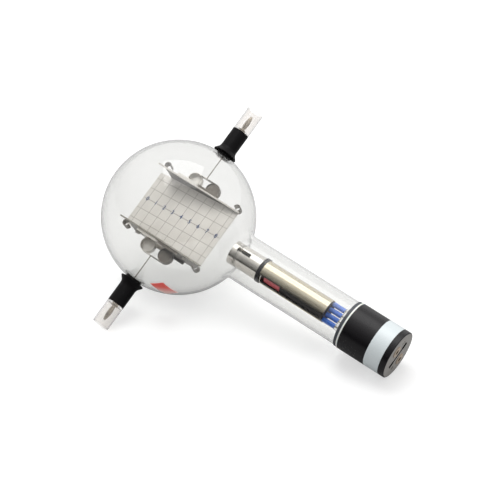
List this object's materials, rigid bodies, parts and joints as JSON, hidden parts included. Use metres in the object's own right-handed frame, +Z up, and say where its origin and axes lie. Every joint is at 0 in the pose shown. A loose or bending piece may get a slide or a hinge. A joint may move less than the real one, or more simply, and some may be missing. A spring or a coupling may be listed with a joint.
{
  "type": "electron deflection tube",
  "caption": "Glass electron deflection tube lying on bulb and cap, with an electron gun in the neck, plates beside a ruled mica screen, and side arms with plugs in clear sleeves.",
  "frame": {"origin": "centre of the bounding box at the bench surface, with the tube lying loose on its bulb, the rim of its cap and the rim of one plug sleeve", "axes": "+X from the bulb towards the cap along the bench, +Y towards the raised side arm, +Z up from the bench"},
  "size_m": [0.2866, 0.1956, 0.13],
  "materials": {
    "clear_glass": "clear gloss",
    "bright_wire": "bright",
    "blue_sleeving": "satin",
    "gun_metal": "polished sheet",
    "black_moulding": "satin",
    "red_insulator": "matte",
    "black_oxide": "matte black",
    "dark_ceramic": "matte",
    "plate_metal": "dull sheet",
    "mica": "pale translucent sheet",
    "plug_metal": "nickel plated",
    "clear_plastic": "clear",
    "white_plastic": "satin",
    "label_paper": "pale blue-grey",
    "grey_plastic": "satin",
    "brass": "bright",
    "red_paper": "matte"
  },
  "bodies": {
    "tube": {"glass_envelope": "clear_glass", "glass_stem": "clear_glass", "stem_leads": "bright_wire", "blue_sleeves": "blue_sleeving", "anode_can": "gun_metal", "gun_ring": "black_moulding", "cathode_can": "gun_metal", "focus_disc": "gun_metal", "red_insulator": "red_insulator", "heater_tube": "black_oxide", "rear_disc": "dark_ceramic", "filament": "bright_wire", "far_plate": "plate_metal", "near_plate": "plate_metal", "far_bracket": "plate_metal", "near_bracket": "plate_metal", "mica_screen": "mica", "far_strip": "plate_metal", "near_strip": "plate_metal", "far_rod": "bright_wire", "near_rod": "bright_wire", "far_seal": "clear_glass", "near_seal": "clear_glass", "far_boss": "black_moulding", "near_boss": "black_moulding", "far_plug": "plug_metal", "near_plug": "plug_metal", "dark_collar": "black_moulding", "white_ring": "white_plastic", "base_cap": "black_moulding", "label_band": "label_paper", "terminal_block": "black_moulding", "end_plate": "grey_plastic", "upper_socket": "brass", "lower_socket": "brass", "upper_nut": "brass", "lower_nut": "brass", "far_screw": "bright_wire", "near_screw": "bright_wire", "red_patch": "red_paper"},
    "far_sleeve_body": {"far_sleeve": "clear_plastic"},
    "near_sleeve_body": {"near_sleeve": "clear_plastic"}
  },
  "joints": [
    {"name": "far_sleeve_pull", "type": "slide", "parent": "tube", "child": "far_sleeve_body", "axis": [0.108, 0.8426, 0.5275], "range_m": [0, 0.02]},
    {"name": "near_sleeve_pull", "type": "slide", "parent": "tube", "child": "near_sleeve_body", "axis": [-0.108, -0.8426, -0.5275], "range_m": [0, 0.02]}
  ]
}
